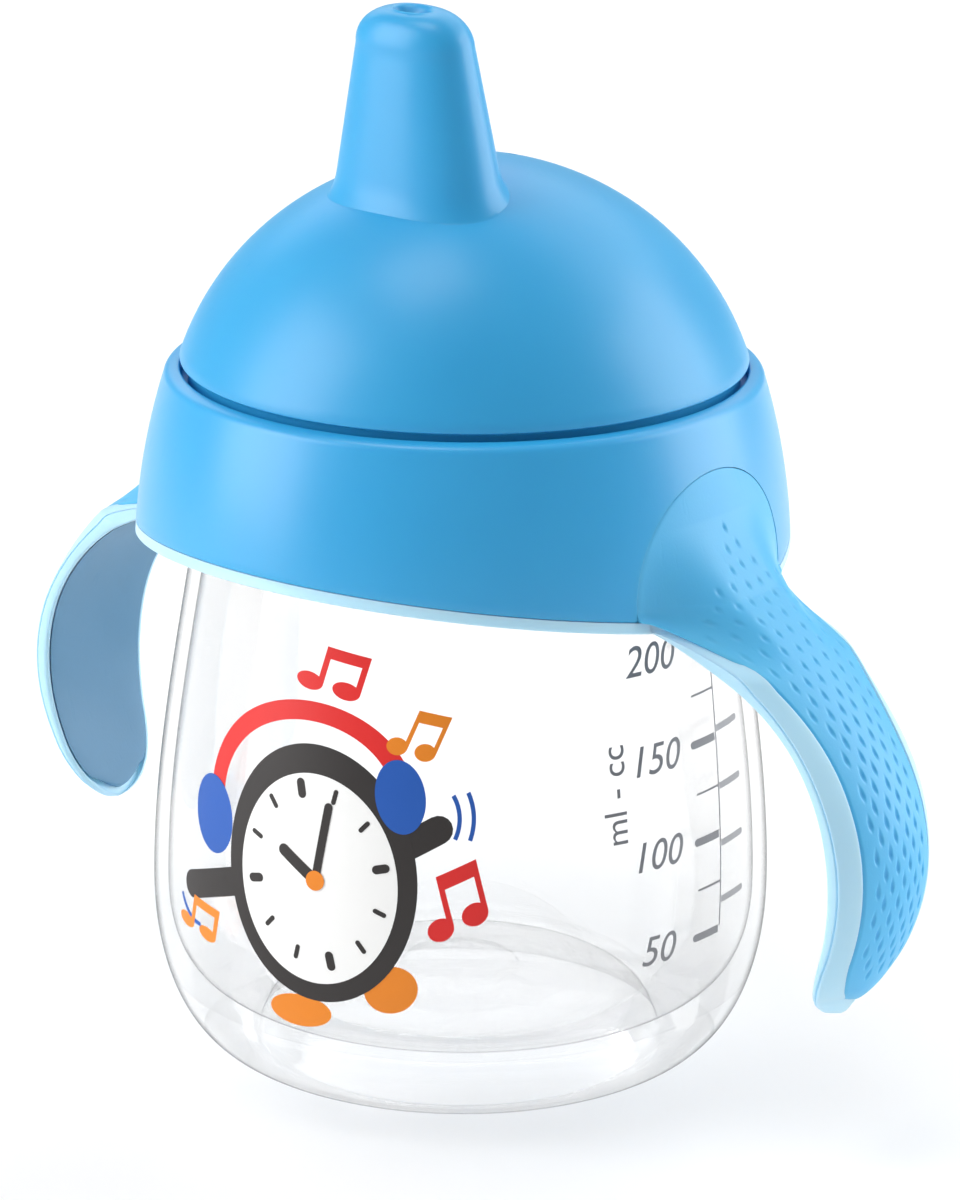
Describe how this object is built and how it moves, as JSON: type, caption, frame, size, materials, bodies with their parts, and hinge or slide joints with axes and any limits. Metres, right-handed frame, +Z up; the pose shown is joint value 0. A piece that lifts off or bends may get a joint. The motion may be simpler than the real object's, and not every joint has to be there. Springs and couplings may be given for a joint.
{
  "type": "sippy cup",
  "caption": "Toddler training cup with a clear tumbler, a screw collar with hanging handles, and a domed spout lid with a removable valve.",
  "frame": {"origin": "centre of the foot, on the surface that the cup stands on", "axes": "+Z up along the cup's axis, handles along +X and -X, spout and printed front towards -Y"},
  "size_m": [0.135, 0.082, 0.1355],
  "materials": {
    "clear_wall": "clear glossy moulded plastic",
    "pale_core": "pale blue satin moulded plastic",
    "blue_shell": "sky blue satin moulded plastic",
    "blue_lid": "sky blue satin moulded plastic",
    "blue_grip": "sky blue soft rubber with small dents",
    "slate_pad": "slate blue smooth soft rubber",
    "silicone": "milky translucent silicone"
  },
  "bodies": {
    "tumbler": {"tumbler": "clear_wall"},
    "lid": {"spout_lid": "blue_lid", "rim_seal": "silicone"},
    "collar": {"collar_core": "pale_core", "collar_shell": "blue_shell", "grip_right": "blue_grip", "grip_left": "blue_grip", "handle_pad_right": "slate_pad", "handle_pad_left": "slate_pad"},
    "valve": {"spout_valve": "silicone"}
  },
  "joints": [
    {"name": "lid_lift", "type": "slide", "parent": "tumbler", "child": "lid", "axis": [0, 0, 1], "range_m": [0, 0.018]},
    {"name": "collar_turn", "type": "hinge", "parent": "lid", "child": "collar", "pos_m": [0, 0, 0.078], "axis": [0, 0, 1], "range_deg": [0, 540]},
    {"name": "valve_pull", "type": "slide", "parent": "lid", "child": "valve", "axis": [0, 0, -1], "range_m": [0, 0.012]}
  ],
  "couplings": [
    {"joint": "lid_lift", "follows": "collar_turn", "m_per_rad": 0.0019099}
  ]
}
